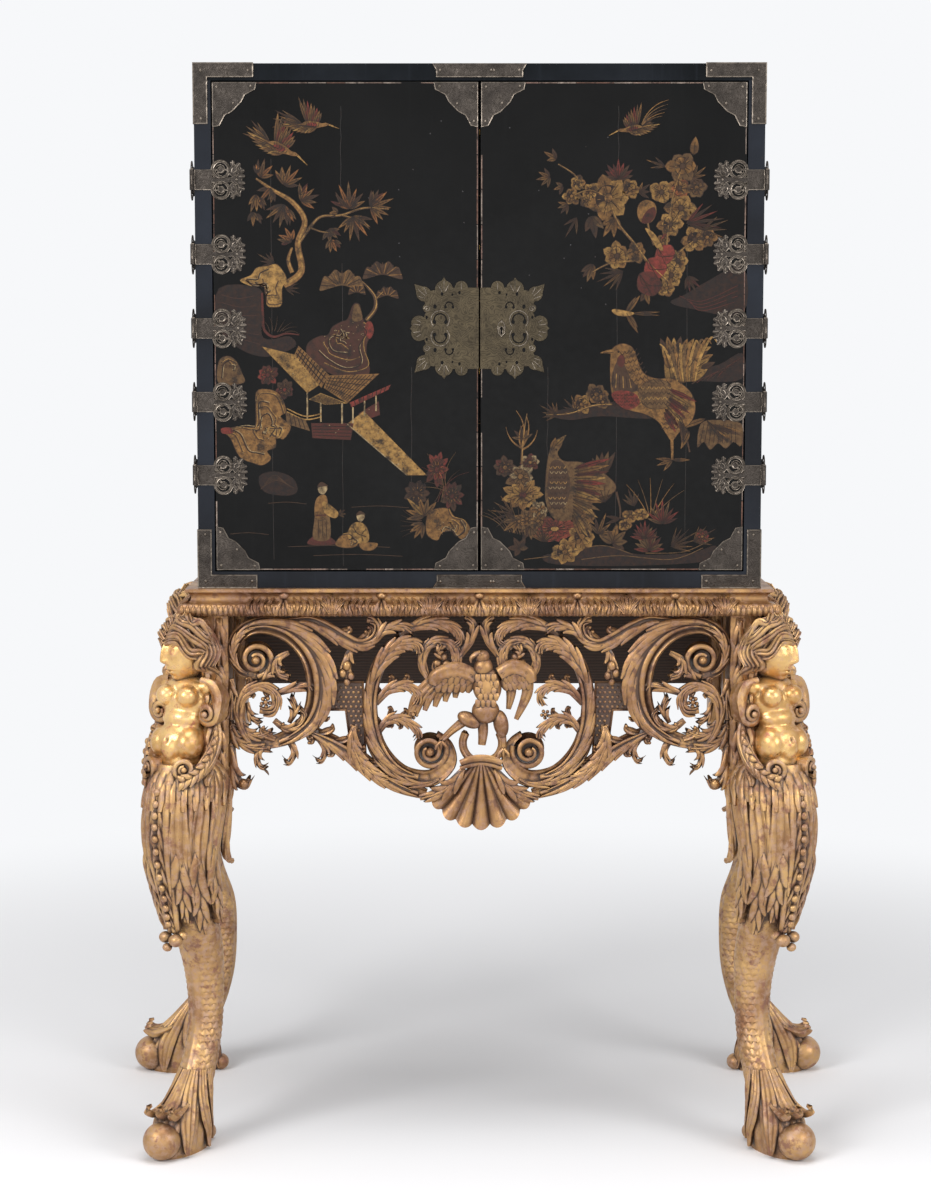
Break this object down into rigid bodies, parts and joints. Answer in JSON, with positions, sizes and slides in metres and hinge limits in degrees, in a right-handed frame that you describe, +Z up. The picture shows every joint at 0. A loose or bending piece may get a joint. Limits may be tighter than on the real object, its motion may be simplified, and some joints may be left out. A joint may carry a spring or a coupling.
{
  "type": "cabinet on stand",
  "caption": "Two-door black lacquer cabinet with raised gold decoration and pierced brass hinges, on a carved giltwood stand with cabriole legs and a pierced apron.",
  "frame": {"origin": "centre of the plan of the whole part, on the floor under the feet", "axes": "+Z up, -Y is the front with the doors, +X to the right of someone facing the front"},
  "size_m": [1.1979, 0.5955, 1.7065],
  "materials": {
    "lacquer_black": "gloss black lacquer with raised gold decoration",
    "lacquer_plain": "satin black lacquer",
    "stained_wood": "dark stained softwood",
    "gilt_wood": "water gilding over red bole, worn",
    "brass": "engraved, dulled",
    "iron": "filed and oiled"
  },
  "bodies": {
    "cabinet_on_stand": {"apron_back": "stained_wood", "apron_front_bird": "gilt_wood", "apron_front_centre": "gilt_wood", "apron_front_left": "gilt_wood", "apron_front_right": "gilt_wood", "apron_front_shell": "gilt_wood", "apron_side_left": "gilt_wood", "apron_side_right": "gilt_wood", "case_back": "lacquer_plain", "case_bottom": "lacquer_black", "case_corner_mounts": "brass", "case_side_left": "lacquer_black", "case_side_right": "lacquer_black", "case_top": "lacquer_black", "centre_mounts": "brass", "drawer_knobs": "brass", "drawer_shelves": "lacquer_plain", "drawer_uprights": "lacquer_plain", "drawers_row_1": "lacquer_plain", "drawers_row_2": "lacquer_plain", "drawers_row_3": "lacquer_plain", "drawers_row_4": "lacquer_plain", "figure_front_left": "gilt_wood", "figure_front_right": "gilt_wood", "figure_rear_left": "gilt_wood", "figure_rear_right": "gilt_wood", "hinge_case_leaves_left": "brass", "hinge_case_leaves_right": "brass", "hinge_pins_left": "brass", "hinge_pins_right": "brass", "leg_front_left": "gilt_wood", "leg_front_right": "gilt_wood", "leg_rear_left": "gilt_wood", "leg_rear_right": "gilt_wood", "stand_moulding_front": "gilt_wood", "stand_moulding_left": "gilt_wood", "stand_moulding_right": "gilt_wood", "stand_rail_front": "stained_wood", "stand_rail_left": "stained_wood", "stand_rail_rear": "stained_wood", "stand_rail_right": "stained_wood"},
    "door_left": {"door_left": "lacquer_black", "lock_plate_left": "brass", "lock_strike": "iron", "slide_bolt_staples": "iron", "hinge_door_leaves_left": "brass", "door_corner_mounts_left": "brass"},
    "door_right": {"door_right": "lacquer_black", "lock_plate_right": "brass", "keyhole_escutcheon": "brass", "lock_case": "iron", "hinge_door_leaves_right": "brass", "door_corner_mounts_right": "brass"},
    "lock_bolt": {"lock_bolt": "iron"},
    "slide_bolt_top": {"slide_bolt_top": "iron"},
    "slide_bolt_bottom": {"slide_bolt_bottom": "iron"}
  },
  "joints": [
    {"name": "door_left_hinge", "type": "hinge", "parent": "cabinet_on_stand", "child": "door_left", "pos_m": [-0.4436, -0.18778, 1.3], "axis": [0, 0, -1], "range_deg": [0, 180]},
    {"name": "door_right_hinge", "type": "hinge", "parent": "cabinet_on_stand", "child": "door_right", "pos_m": [0.4436, -0.18778, 1.3], "axis": [0, 0, 1], "range_deg": [0, 180]},
    {"name": "lock_bolt_slide", "type": "slide", "parent": "door_right", "child": "lock_bolt", "axis": [-1, 0, 0], "range_m": [0, 0.012]},
    {"name": "slide_bolt_top_slide", "type": "slide", "parent": "door_left", "child": "slide_bolt_top", "axis": [0, 0, 1], "range_m": [0, 0.015]},
    {"name": "slide_bolt_bottom_slide", "type": "slide", "parent": "door_left", "child": "slide_bolt_bottom", "axis": [0, 0, -1], "range_m": [0, 0.015]}
  ]
}
